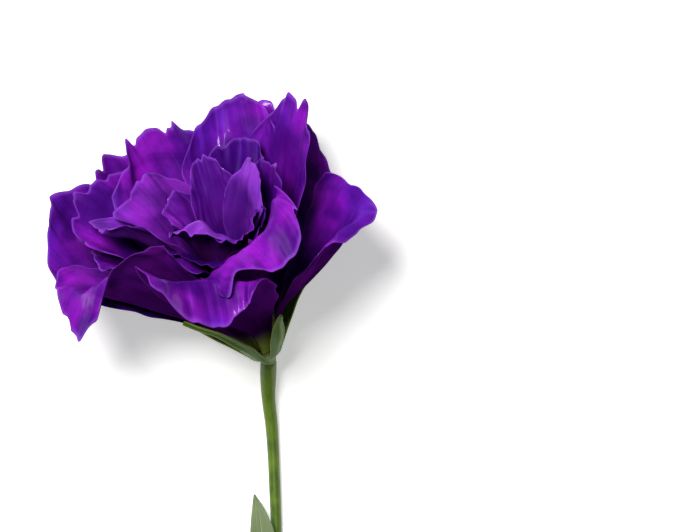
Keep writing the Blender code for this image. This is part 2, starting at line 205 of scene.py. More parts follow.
def green_skin(name, dark, light, roughness, line_scale=None):
    """A living green skin: blotched between two greens, with lines along one axis if it has any."""
    material, nodes, links, shader = new_material(name)
    grain = add_group(nodes, SKIN_GRAIN)
    shade = mask(nodes, links, grain.outputs["Blotch"], 0.3, 0.72)
    height = grain.outputs["Grain"]
    if line_scale:
        place = nodes.new("ShaderNodeTexCoord")
        stretch = nodes.new("ShaderNodeMapping")
        stretch.inputs["Scale"].default_value = line_scale
        lines = nodes.new("ShaderNodeTexNoise")
        lines.inputs["Scale"].default_value = 1.0
        lines.inputs["Detail"].default_value = 3
        links.new(place.outputs["Object"], stretch.inputs["Vector"])
        links.new(stretch.outputs["Vector"], lines.inputs["Vector"])
        blotch = mask(nodes, links, grain.outputs["Blotch"], 0.35, 0.8)
        shade = maths(nodes, links, "MULTIPLY_ADD", lines.outputs["Fac"], 0.9, blotch, clamp=True)
        shade = mask(nodes, links, shade, 0.3, 1.1)
        height = maths(nodes, links, "ADD", height, lines.outputs["Fac"])
    links.new(blend(nodes, links, shade, dark, light), shader.inputs["Base Color"])
    rough = maths(nodes, links, "MULTIPLY_ADD", grain.outputs["Grain"], 0.25, roughness - 0.12)
    links.new(rough, shader.inputs["Roughness"])
    relief = nodes.new("ShaderNodeBump")
    relief.inputs["Strength"].default_value = 0.6
    relief.inputs["Distance"].default_value = SKIN_RELIEF
    links.new(height, relief.inputs["Height"])
    links.new(relief.outputs["Normal"], shader.inputs["Normal"])
    shader.inputs["Subsurface Weight"].default_value = 0.08
    shader.inputs["Subsurface Radius"].default_value = (0.0012, 0.0018, 0.0006)
    return material


# The bloom's foot is yellower than the stem below it.
FOOT_GREEN = green_skin("receptacle_green", (0.07, 0.14, 0.006), (0.17, 0.26, 0.015), 0.45)
# Its outline, from the end inside the stem up to the top: (radius, height).
RECEPTACLE_SIDE = [
    (1.6, -6.5),
    (1.95, -5.7),
    (2.15, -4.9),
    (2.6, -4.1),
    (3.4, -3.2),
    (4.3, -2.2),
    (4.95, -1.2),
    (5.15, -0.5),
    (4.6, -0.2),
    (3.4, 0.4),
    (2.6, 1.2),
    (1.4, 1.95),
    (0.5, 2.05),
]


def ribbed(offset, number, turn):
    """Five low ribs, one under each sepal."""
    return offset * (1 + 0.045 * math.cos(5 * turn - math.radians(90)) * (1 if 3 < number < 8 else 0))


receptacle = grown(
    "bloom_receptacle",
    [(Vector((0, 0, z)) * MM, Vector((0, 0, 1)), r * MM) for r, z in RECEPTACLE_SIDE],
    40,
    ribbed,
)
receptacle.data.transform(BLOOM)
subdivided(receptacle)
receptacle.data.materials.append(FOOT_GREEN)
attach(receptacle, "root")
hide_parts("receptacle")


# ---------------------------------------------------------------------------------------------------
# Pistil: the green ovary with its thin style, and the stigma drawn out to two lobes.  It stands on the
# receptacle in the middle of the bloom, out of sight between the inner petals.
# ---------------------------------------------------------------------------------------------------
OVARY_SIDE = [(0.7, 2.35), (0.85, 4.0), (1.05, 6.0), (1.22, 9.0), (1.1, 12.0), (0.75, 14.5)]
STYLE_SIDE = [(0.48, 16.5), (0.45, 19.0), (0.55, 20.8)]
STIGMA_SIDE = [(1.1, 21.6), (1.6, 22.2), (1.3, 22.8), (0.6, 23.0)]
PISTIL_SIDE = OVARY_SIDE + STYLE_SIDE + STIGMA_SIDE
STIGMA_START = len(OVARY_SIDE + STYLE_SIDE)


def two_lobed(offset, number, turn):
    """The ovary has a seam down each side, and the stigma above it spreads to two flat lobes."""
    if number < STIGMA_START:
        return offset * (1 - 0.07 * math.cos(2 * turn) ** 8)
    return Vector((offset.x * 1.2, offset.y * 0.5, offset.z - 0.0004 * math.cos(turn) ** 2))


pistil = grown(
    "bloom_pistil",
    [(Vector((0, 0, z)) * MM, Vector((0, 0, 1)), r * MM) for r, z in PISTIL_SIDE],
    28,
    two_lobed,
)
pistil.data.transform(BLOOM)
subdivided(pistil)
pistil.data.materials.append(green_skin("pistil_green", (0.30, 0.42, 0.08), (0.58, 0.62, 0.22), 0.4))
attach(pistil, "root")
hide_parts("pistil")


# ---------------------------------------------------------------------------------------------------
# Stamens: five pale filaments round the pistil, each with a yellow anther of two pollen sacs on top.
# They grow from the receptacle's top.
# ---------------------------------------------------------------------------------------------------
FILAMENT_SIDE = [(0.28, 0.0), (0.24, 5.0), (0.22, 10.0), (0.2, 14.2)]
ANTHER_SIDE = [(0.42, 14.6), (0.62, 15.4), (0.6, 16.5), (0.4, 17.3), (0.15, 17.6)]
ANTHER_START = len(FILAMENT_SIDE)
# A stamen turns yellow with pollen from this height up.
POLLEN_START = 14.1
STAMEN_FOOT = (1.36, 0, 2.45)
STAMEN_SPLAY = math.radians(4.5)


def anther_sacs(offset, number, turn):
    """The anther is pinched along its middle into two sacs."""
    return offset * (1 - 0.28 * math.sin(turn) ** 6) if number >= ANTHER_START else offset


def stamen_skin():
    """Pale green filament below, yellow pollen grain above, by the piece's "pollen" attribute."""
    material, nodes, links, shader = new_material("stamen_skin")
    grain = add_group(nodes, SKIN_GRAIN, **{"Grain Scale": 2600.0})
    pollen = nodes.new("ShaderNodeAttribute")
    pollen.attribute_name = "pollen"
    filament = blend(nodes, links, grain.outputs["Blotch"], (0.62, 0.66, 0.40), (0.78, 0.76, 0.55))
    anther = blend(nodes, links, grain.outputs["Grain"], (0.52, 0.34, 0.04), (0.86, 0.66, 0.14))
    links.new(blend(nodes, links, pollen.outputs["Fac"], filament, anther), shader.inputs["Base Color"])
    rough = maths(nodes, links, "MULTIPLY_ADD", pollen.outputs["Fac"], 0.4, 0.45)
    links.new(rough, shader.inputs["Roughness"])
    relief = nodes.new("ShaderNodeBump")
    relief.inputs["Distance"].default_value = SKIN_RELIEF
    links.new(grain.outputs["Grain"], relief.inputs["Height"])
    links.new(relief.outputs["Normal"], shader.inputs["Normal"])
    return material


STAMEN_SKIN = stamen_skin()
for number in range(5):
    stamen = grown(
        f"bloom_stamen_{number + 1}",
        [(Vector((0, 0, z)) * MM, Vector((0, 0, 1)), r * MM) for r, z in FILAMENT_SIDE + ANTHER_SIDE],
        14,
        anther_sacs,
    )
    pollen = stamen.data.attributes.new("pollen", "FLOAT", "POINT")
    for vertex in stamen.data.vertices:
        pollen.data[vertex.index].value = smooth((vertex.co.z / MM - POLLEN_START) / 0.4)
    foot = Matrix.Translation(Vector(STAMEN_FOOT) * MM) @ Matrix.Rotation(STAMEN_SPLAY, 4, "Y")
    stamen.data.transform(BLOOM @ Matrix.Rotation(math.radians(18 + 72 * number), 4, "Z") @ foot)
    subdivided(stamen)
    stamen.data.materials.append(STAMEN_SKIN)
    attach(stamen, "root")
    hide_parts(f"stamen_{number + 1}")


# ---------------------------------------------------------------------------------------------------
# Inner petals: five small thin petals close round the stamens, satin violet and paler than the rest.
# Each stands on the receptacle on a narrow claw and widens to a ruffled rim.
# ---------------------------------------------------------------------------------------------------
PETAL_THICK = 0.34
# At the rim a petal keeps this share of its thickness.
RIM_SHARE = 0.45
# Petals bend softly to stay this far above the surface, over a height of about FLOOR_GIVE.
FLOOR_LIFT = 0.2
FLOOR_GIVE = 1.5


def along(points, t):
    """The point at share t of a smooth line through the points."""
    spans = len(points) - 1
    i = min(int(t * spans), spans - 1)
    f = t * spans - i
    b = points[i]
    c = points[i + 1]
    a = points[i - 1] if i > 0 else tuple(2 * p - q for p, q in zip(b, c))
    d = points[i + 2] if i + 2 < len(points) else tuple(2 * q - p for p, q in zip(b, c))
    return tuple(
        0.5 * (2 * q + (r - p) * f + (2 * p - 5 * q + 4 * r - s) * f**2 + (3 * q - p - 3 * r + s) * f**3)
        for p, q, r, s in zip(a, b, c, d)
    )


def on_ring(ring, turn, s):
    """(radius, height) of a ring's surface at azimuth turn, at share s of the way from foot to rim."""
    stations = sorted(ring["sides"])
    turn %= 360
    after = next((i for i, station in enumerate(stations) if station > turn), 0)
    start = stations[after - 1]
    share = smooth(((turn - start) % 360) / ((stations[after] - start) % 360))
    r0, z0 = along([ring["foot"]] + ring["sides"][start], s)
    r1, z1 = along([ring["foot"]] + ring["sides"][stations[after]], s)
    return r0 + share * (r1 - r0), z0 + share * (z1 - z0)


def pressed(point):
    """The floor lifts whatever would sink into it, softly."""
    laid = BLOOM @ point
    height = (laid.z / MM - FLOOR_LIFT) / FLOOR_GIVE
    if height < 20:
        laid.z = (FLOOR_LIFT + FLOOR_GIVE * math.log1p(math.exp(height))) * MM
    return laid


def wave(seed, x, y=0):
    """Smooth noise from about -1 to 1, different for each seed."""
    return 1.6 * noise.noise(Vector((x, y, seed)))


def rim_reach(shape, u, v):
    """How far up its ring the grid point lies, from 0 to 1, with the rim torn, notched and drawn out."""
    seed = shape["seed"]
    notch = max(wave(seed + 0.4, u * 6.5) - 0.42, 0)
    torn = 0.038 * wave(seed, u * 1.7) + 0.018 * wave(seed + 2.2, u * 5.2) - 0.13 * notch
    torn *= shape.get("torn", 1.0)
    s = v * (1 - shape.get("blunt", 0.2) * abs(u) ** 2.6 + torn * v**3)
    for place, spread, extra in shape.get("rim", []):
        s += extra * v**4 * math.exp(-(((u - place) / spread) ** 2))
    return min(s, 1.08)


def ruffled(shape, u, v, s):
    """How far out from its ring the grid point stands, in millimetres."""
    seed = shape["seed"]
    ruffle = shape["ruffle"]
    # The two sides lift off the ring, so that neighbours overlap.
    out = (shape["right"] * max(u, 0) + shape["left"] * max(-u, 0)) * smooth(s * 2.2)
    # One long wave, and then shorter and shorter ones towards the rim.
    edge = smooth((s - 0.35) / 0.65) * (0.3 + 0.7 * u * u)
    sway = u + 0.25 * wave(seed + 3.3, v * 2.4, u)
    out += 0.8 * ruffle * edge * math.sin(1.5 * math.pi * sway + seed + 2.2 * s)
    side = smooth((abs(u) - 0.6) / 0.4) * smooth((v - 0.25) / 0.35)
    rim = max(smooth((v - 0.55) / 0.45), 0.6 * side)
    out += 1.5 * ruffle * rim * wave(seed + 6.1, u * 2.6 + 0.5 * v, v * 1.4)
    out += 1.0 * ruffle * rim**2 * wave(seed + 9.7, u * 6.4, v * 1.8)
    # Lengthwise creases, fine ribs and crumples.
    crease = smooth(v * 1.8) * (1 - 0.4 * rim)
    out += 0.85 * crease * ruffle * (abs(wave(seed + 1.9, u * 2.3 + 0.7 * v, v * 1.1)) - 0.4)
    out += 0.12 * smooth(v * 3) * wave(seed + 4.6, u * 14, v * 1.1)
    crumple = abs(wave(seed + 7.3, u * 4.1 + 1.3 * v, v * 4.6 - u)) - 0.3
    return out + 0.6 * ruffle * smooth(v * 1.6) * crumple


def off_ring(ring, turn, s, out):
    """(radius, height) of a point that stands out from a ring's surface, square to it."""
    low_r, low_z = on_ring(ring, turn, max(s - 0.02, 0))
    high_r, high_z = on_ring(ring, turn, min(s + 0.02, 1))
    long = math.hypot(high_r - low_r, high_z - low_z)
    r, z = on_ring(ring, turn, s)
    return r + out * (high_z - low_z) / long, z - out * (high_r - low_r) / long


def petal_point(ring, shape, u, v):
    """Where the grid point (u, v) of a petal lies: u from -1 to 1 across it, v from 0 to 1 along it."""
    azimuth, foot, width, claw = shape["azimuth"], shape["foot"], shape["width"], shape["claw"]
    seed = shape["seed"]
    s = rim_reach(shape, u, v)
    half = claw + (width - claw) * smooth((s - 0.05) / 0.62) - 0.12 * width * smooth((s - 0.7) / 0.3)
    turn = foot + ((azimuth - foot + 180) % 360 - 180) * smooth(s / 0.6)
    drift = 0.07 * wave(seed + 5.1, v * 3.1, u) * smooth(s / 0.5)
    drift += 0.05 * wave(seed + 8.8, v * 9) * abs(u) ** 3
    turn += math.degrees((u + drift) * half / on_ring(ring, turn, s)[0])
    r, z = off_ring(ring, turn, s, ruffled(shape, u, v, s))
    for place_u, place_v, spread_u, spread_v, outwards, upwards in shape.get("folds", []):
        share = math.exp(-(((u - place_u) / spread_u) ** 2) - ((v - place_v) / spread_v) ** 2)
        r += outwards * share
        z += upwards * share
    turn = math.radians(turn)
    return pressed(Vector((r * math.cos(turn), r * math.sin(turn), z)) * MM)


def vein_group():
    """Lines that run from a petal's or leaf's foot to its rim, from its own UV map."""
    group, start, end = new_group("lengthwise_lines", {"Count": 30.0, "Wander": 2.0}, ["Lines"])
    nodes, links = group.nodes, group.links
    place = nodes.new("ShaderNodeTexCoord")
    split = nodes.new("ShaderNodeSeparateXYZ")
    join = nodes.new("ShaderNodeCombineXYZ")
    lines = nodes.new("ShaderNodeTexNoise")
    lines.inputs["Scale"].default_value = 1.0
    lines.inputs["Detail"].default_value = 2.5
    links.new(place.outputs["UV"], split.inputs[0])
    links.new(maths(nodes, links, "MULTIPLY", split.outputs["X"], start.outputs["Count"]), join.inputs["X"])
    links.new(maths(nodes, links, "MULTIPLY", split.outputs["Y"], start.outputs["Wander"]), join.inputs["Y"])
    links.new(join.outputs[0], lines.inputs["Vector"])
    links.new(lines.outputs["Fac"], end.inputs["Lines"])
    return group


VEINS = vein_group()


def attribute(nodes, name):
    """A number that the piece's own mesh carries."""
    node = nodes.new("ShaderNodeAttribute")
    node.attribute_name = name
    return node.outputs["Fac"]


def clouds(nodes, links, place, scale, detail, distortion=0.0):
    """Cloudy noise over the piece, from its own place."""
    node = nodes.new("ShaderNodeTexNoise")
    node.inputs["Scale"].default_value = scale
    node.inputs["Detail"].default_value = detail
    node.inputs["Distortion"].default_value = distortion
    links.new(place.outputs["Object"], node.inputs["Vector"])
    return node.outputs["Fac"]


def petal_skin(name, shade, deep, bright_blue, bright, pale, roughness, gloss, wetness):
    """Satin petal skin: two strengths of violet in streaks and clouds, a pale margin, a greenish claw.

    The mesh's "lilac" makes a petal paler, and its shading attribute is painted shade, darker and bluer,
    and painted light, brighter and redder, where it is below 0.
    """
    material, nodes, links, shader = new_material(name)
    grain = add_group(nodes, SKIN_GRAIN, **{"Blotch Scale": 95.0, "Grain Scale": 1500.0})
    broad = add_group(nodes, VEINS, Count=14.0, Wander=1.4)
    fine = add_group(nodes, VEINS, Count=75.0, Wander=2.5)
    place = nodes.new("ShaderNodeTexCoord")
    split = nodes.new("ShaderNodeSeparateXYZ")
    links.new(place.outputs["UV"], split.inputs[0])
    lilac = attribute(nodes, "lilac")
    dim = attribute(nodes, "dim")
    # Streaks of bright violet, redder in places, over the deep one.
    streak = maths(nodes, links, "MULTIPLY", broad.outputs["Lines"], 0.28)
    streak = maths(nodes, links, "MULTIPLY_ADD", fine.outputs["Lines"], 0.22, streak)
    streak = maths(nodes, links, "MULTIPLY_ADD", grain.outputs["Blotch"], 1.15, streak)
    # The piece's shading attribute is painted shade: above 0 the violet turns bluer and the clouds and the
    # lower part darker, as deep in the bloom; below 0 it is painted light, brighter and redder.
    shading_shift = maths(nodes, links, "MULTIPLY", dim, 0.22)
    drift = maths(nodes, links, "SUBTRACT", clouds(nodes, links, place, 38, 2), shading_shift)
    violet = blend(nodes, links, mask(nodes, links, drift, 0.36, 0.58), bright_blue, bright)
    colour = blend(nodes, links, mask(nodes, links, streak, 0.55, 1.15), deep, violet)
    paler = maths(nodes, links, "MULTIPLY", lilac, mask(nodes, links, streak, 0.4, 1.0))
    colour = blend(nodes, links, paler, colour, pale)
    # Darker clouds, a pale margin, a darker lower part that is partly the petal's own deeper foot and partly
    # painted shade, and a greenish claw.
    cloudy = maths(nodes, links, "ADD", clouds(nodes, links, place, 62, 3, 0.8), shading_shift)
    cloudy = mask(nodes, links, cloudy, 0.46, 0.64)
    colour = blend(nodes, links, maths(nodes, links, "MULTIPLY", cloudy, 0.7), colour, deep)
    across = maths(nodes, links, "MULTIPLY_ADD", split.outputs["X"], 2.0, -1.0)
    across = maths(nodes, links, "ABSOLUTE", across)
    edge = maths(nodes, links, "MAXIMUM", across, split.outputs["Y"])
    margin = maths(nodes, links, "MULTIPLY", mask(nodes, links, edge, 0.97, 1.0), 0.5)
    colour = blend(nodes, links, margin, colour, pale)
    # The darkening towards the foot is partly the petal's own colour and partly painted shade of the bloom's
    # hollow; it reaches higher where more shade is painted.
    up = maths(nodes, links, "SUBTRACT", split.outputs["Y"], dim)
    dark_foot_and_painted_shade = maths(nodes, links, "SUBTRACT", 1.0, mask(nodes, links, up, 0.38, 0.98))
    colour = blend(nodes, links, maths(nodes, links, "MULTIPLY", dark_foot_and_painted_shade, 0.9), colour, shade)
    claw = maths(nodes, links, "SUBTRACT", 1.0, mask(nodes, links, split.outputs["Y"], 0.03, 0.15))
    colour = blend(nodes, links, maths(nodes, links, "MULTIPLY", claw, 0.85), colour, (0.30, 0.36, 0.05))
    links.new(colour, shader.inputs["Base Color"])
    rough = maths(nodes, links, "MULTIPLY_ADD", grain.outputs["Blotch"], 0.3, roughness - 0.15)
    links.new(rough, shader.inputs["Roughness"])
    # Fine ribs under the fingers, and light that sinks a little into the petal.
    relief = nodes.new("ShaderNodeBump")
    relief.inputs["Strength"].default_value = 0.7
    relief.inputs["Distance"].default_value = 0.00017
    height = maths(nodes, links, "MULTIPLY_ADD", grain.outputs["Grain"], 0.25, fine.outputs["Lines"])
    links.new(height, relief.inputs["Height"])
    links.new(relief.outputs["Normal"], shader.inputs["Normal"])
    shader.inputs["Subsurface Weight"].default_value = 0.15
    shader.inputs["Subsurface Radius"].default_value = (0.0016, 0.0004, 0.0022)
    shader.inputs["Specular IOR Level"].default_value = gloss
    if wetness:
        damp = mask(nodes, links, clouds(nodes, links, place, 75, 1.5), 0.61, 0.66)
        links.new(maths(nodes, links, "MULTIPLY", damp, wetness), shader.inputs["Coat Weight"])
        shader.inputs["Coat Roughness"].default_value = 0.12
    return material


PETAL_INSIDE = petal_skin(
    "petal_inside_violet",
    (0.022, 0.0004, 0.10),
    (0.045, 0.0008, 0.16),
    (0.10, 0.002, 0.42),
    (0.30, 0.001, 0.52),
    (0.30, 0.07, 0.66),
    0.42,
    0.05,
    0.38,
)
# The underside skin is darker and duller than the inside: partly its own duller colour, partly painted shade
# of the side turned away from the light.
PETAL_UNDERSIDE_SHADED = petal_skin(
    "petal_underside_violet_with_painted_shade",
    (0.030, 0.001, 0.050),
    (0.036, 0.001, 0.09),
    (0.050, 0.004, 0.21),
    (0.095, 0.002, 0.16),
    (0.18, 0.03, 0.40),
    0.6,
    0.0,
    0.0,
)


# The cells of a petal's grid, across and along.
PETAL_CELLS = (36, 42)


def make_petal(name, node, ring, **shape):
    """One petal: a grid bent to its ring's surface, thickened to a thin blade and rounded.

    In shape, foot and azimuth are where round the bloom the petal grows and where it ends, in degrees;
    width and claw are half its width at the rim and at the foot, left and right how far each side stands
    off the ring and ruffle how deep its waves are, in millimetres.  blunt rounds the rim's corners, rim
    is a list of tips (place, spread, extra), folds is a list of bends (u, v, spread in u, spread in v,
    outwards, upwards), torn is how ragged the rim is, lilac is for the skin, and the shading entry is
    painted shade on the skin, and painted light where it is below 0.
    """
    bpy.ops.object.select_all(action="DESELECT")
    bpy.ops.mesh.primitive_grid_add(x_subdivisions=PETAL_CELLS[0], y_subdivisions=PETAL_CELLS[1], size=2)
    petal = bpy.context.object
    petal.name = name
    petal.data.name = name
    blade = petal.vertex_groups.new(name="blade")
    paleness = []
    painted_shadings = []
    for vertex in petal.data.vertices:
        u, v = vertex.co.x, (vertex.co.y + 1) / 2
        edge = max(abs(u), v)
        blade.add([vertex.index], 1 - 0.8 * smooth((edge - 0.75) / 0.25), "REPLACE")
        paleness.append(shape.get("lilac", 0.1) * (0.35 + 0.65 * v))
        painted_shadings.append(shape.get("dim", 0.0))
        vertex.co = petal_point(ring, shape, u, v)
    petal.data.attributes.new("lilac", "FLOAT", "POINT").data.foreach_set("value", paleness)
    petal.data.attributes.new("dim", "FLOAT", "POINT").data.foreach_set("value", painted_shadings)
    petal.data.materials.append(PETAL_UNDERSIDE_SHADED)
    petal.data.materials.append(PETAL_INSIDE)
    shell = petal.modifiers.new("shell", "SOLIDIFY")
    shell.thickness = PETAL_THICK * MM
    shell.offset = 0
    shell.vertex_group = "blade"
    shell.thickness_vertex_group = RIM_SHARE
    shell.material_offset = 1
    bpy.ops.object.modifier_apply(modifier="shell")
    subdivided(petal)
    bpy.ops.object.shade_smooth()
    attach(petal, "root")
    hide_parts(node)
    return petal


# The surface that the petals of a ring lie on: from its foot it goes up through these points, each
# (radius, height) in millimetres, at these azimuths round the bloom's axis in degrees.
INNER_RING = {
    "foot": (2.3, 2.1),
    "sides": {
        20: [(3.4, 13), (5.8, 25), (9.2, 36), (11.6, 45), (13.3, 53)],
        50: [(3.4, 13), (5.8, 25), (9.2, 36), (11.6, 44), (13, 51.5)],
        85: [(3.4, 13), (5.5, 25), (9, 36), (12.5, 44), (15.5, 51.5)],
        115: [(3.4, 13), (5.2, 25), (8, 35), (10, 42), (11.5, 49)],
        150: [(3.4, 13), (5, 25), (7.8, 34), (10, 41), (12, 47)],
        190: [(3.4, 13), (4.8, 25), (6.8, 34), (9.5, 42.5), (13.5, 47)],
        215: [(3.4, 13), (4.6, 25), (6, 35), (8, 44), (13.5, 47.5)],
        240: [(3.4, 13), (4.4, 25), (5.4, 35), (6.5, 44.5), (11.5, 46)],
        270: [(3.4, 13), (4.6, 25), (6.2, 35), (8.6, 41.5), (11.8, 44)],
        300: [(3.4, 13), (5, 24), (7.8, 33), (10.4, 38.5), (12.6, 42.5)],
        330: [(3.4, 13), (5.3, 25), (8.4, 35), (10.7, 42), (12.6, 49)],
    },
}
# Each petal's name, azimuth, foot and lilac.
INNER_PETALS = [
    ("front_left", 228, 246, 0.55),
    ("front_right", 294, 318, 0.25),
    ("right", 12, 20, 0.6),
    ("back", 84, 92, 0.3),
    ("left", 146, 164, 0.25),
]
for number, (where, azimuth, foot, lilac) in enumerate(INNER_PETALS):
    make_petal(
        f"bloom_inner_petal_{where}",
        "inner_petal_" + where,
        INNER_RING,
        azimuth=azimuth,
        foot=foot,
        width=10.5 if where == "right" else 8.5,
        claw=1.1,
        left=0.9,
        right=-0.9,
        ruffle=0.8,
        folds=[(0.2, 1.08, 1.0, 0.2, 2.2, -1.0)],
        lilac=lilac,
        seed=1.3 + number,
    )


# ---------------------------------------------------------------------------------------------------
# Third ring: six narrow petals that stand round the inner ones, violet, with crimped rims.
# Each grows from the receptacle on its own claw.
# ---------------------------------------------------------------------------------------------------
THIRD_RING = {
    "foot": (3.1, 1.4),
    "sides": {
        20: [(5.3, 12), (9, 23), (13, 34), (16, 43), (18, 50)],
        58: [(5.3, 12), (10, 23), (15.5, 33), (21, 41), (25, 49)],
        95: [(5.3, 12), (9.8, 23), (14.5, 34), (18.5, 43), (21, 52)],
        128: [(5.5, 12), (10, 23), (14.5, 33), (17.5, 43), (20, 53)],
        148: [(5.5, 12), (10.5, 23), (15.5, 33), (19.5, 43), (23, 51.5)],
        160: [(5.5, 12), (11, 23), (17, 33), (23, 43), (31, 49.5)],
        172: [(5.5, 12), (10.5, 23), (16, 33), (20.5, 43), (26.5, 49)],
        195: [(5, 12), (9, 23), (12.5, 34), (15.5, 43), (19, 51)],
        207: [(5, 12), (8, 23), (11, 33), (13.2, 41), (15.5, 47.5)],
        225: [(5, 12), (7.3, 23), (9.6, 32), (12, 39), (15, 43.5)],
        255: [(5, 12), (7, 23), (9.5, 31), (13, 36.5), (17.5, 40)],
        285: [(5, 12), (7, 22), (10, 30.5), (13, 37), (15.5, 42)],
        320: [(5, 12), (7.6, 23), (10.6, 32), (13.2, 39.5), (15, 46)],
    },
}
# Each petal's name, azimuth, foot, lilac and painted shading.
THIRD_PETALS = [
    ("front", 243, 248, 0.2, 0.45),
    ("front_right", 300, 308, 0.1, 0.3),
    ("right", 14, 8, 0.15, 0.25),
    ("back_right", 62, 66, 0.1, 0.2),
    ("back_left", 136, 128, 0.3, 0.0),
    ("left", 174, 188, 0.4, 0.0),
]
for number, (where, azimuth, foot, lilac, dim) in enumerate(THIRD_PETALS):
    make_petal(
        f"bloom_third_petal_{where}",
        "third_petal_" + where,
        THIRD_RING,
        azimuth=azimuth,
        foot=foot,
        width=11.5,
        claw=1.3,
        left=1.3,
        right=-1.3,
        ruffle=0.75,
        folds=[(-0.1, 1.08, 0.9, 0.2, 2.2, -1.0)],
        lilac=lilac,
        dim=dim,
        seed=7.7 + number,
    )


# ---------------------------------------------------------------------------------------------------
# Second ring: six broad petals, deep violet.  The front right one folds over the rim of the bloom in
# a lip, made brighter and redder with painted light.  Each grows from the receptacle on its own claw.
# ---------------------------------------------------------------------------------------------------
SECOND_RING = {
    "foot": (3.9, 0.7),
    "sides": {
        0: [(8, 12), (14, 24), (19, 34), (23, 42), (26, 48)],
        36: [(9, 12), (16, 24), (24, 35), (31, 46), (38, 56)],
        64: [(9, 12), (16, 24), (23, 35), (29.5, 45), (36, 54)],
        90: [(9, 12), (15, 24), (21, 35), (26, 45), (31, 54)],
        112: [(9, 12), (15, 24), (21, 35), (27, 46), (32, 56)],
        130: [(9, 12), (16, 24), (23, 35), (28.5, 46), (31, 55)],
        148: [(9, 12), (17, 24), (25, 35), (32, 45), (37.5, 53)],
        168: [(9, 12), (17, 23), (25, 33), (32, 41), (38.5, 46.5)],
        185: [(8.5, 12), (15.5, 23), (22.5, 33), (28.5, 41.5), (34, 44)],
        203: [(7.5, 12), (12.5, 23), (17.3, 33), (21.5, 41), (27.5, 42)],
        222: [(6.8, 12), (11, 23), (14, 32.5), (16.5, 39), (20.5, 41)],
        242: [(6.8, 12), (10.5, 23), (13.5, 31), (16.5, 36), (21, 35)],
        258: [(6.8, 12), (11, 23), (14, 32), (18.5, 38.5), (28.5, 37.5)],
        270: [(6.8, 12), (11, 23), (13.5, 32), (16.5, 39), (25, 39)],
        290: [(6.8, 12), (11, 24), (14.5, 34.5), (19, 41.5), (28.8, 38.5)],
        305: [(7, 12), (11.5, 25), (16.5, 37), (22, 44.5), (31.5, 40)],
        320: [(7, 12), (11.5, 25), (16.5, 38), (21.5, 47.5), (28.6, 44)],
        335: [(7.5, 13), (12, 26), (15.5, 38), (19, 47), (22, 53)],
    },
}
SECOND_PETALS = {
    "front_right": dict(azimuth=297, foot=295, width=18, left=0.1, right=-1.2, ruffle=0.9, blunt=0.12,
                        folds=[(-0.9, 1.0, 0.11, 0.14, 4.6, -5.2)], dim=-0.35),
    "right": dict(azimuth=33, foot=355, width=14, left=1.2, right=-1.2, ruffle=0.8),
    "back_right": dict(azimuth=68, foot=55, width=15.5, left=1.2, right=-1.2, ruffle=1.2),
    "back_left": dict(azimuth=108, foot=115, width=17.5, left=1.2, right=-1.2, ruffle=1.1,
                      rim=[(-0.5, 0.05, 0.08), (0.35, 0.05, 0.07)]),
    "left": dict(azimuth=151, foot=175, width=17, left=1.2, right=-1.2, ruffle=1.0),
    "front_left": dict(azimuth=203, foot=235, width=15, left=1.7, right=-1.6, ruffle=0.9),
}
for number, (where, shape) in enumerate(SECOND_PETALS.items()):
    make_petal(f"bloom_second_petal_{where}", "second_petal_" + where, SECOND_RING, claw=1.7,
               seed=20.9 + number, **shape)


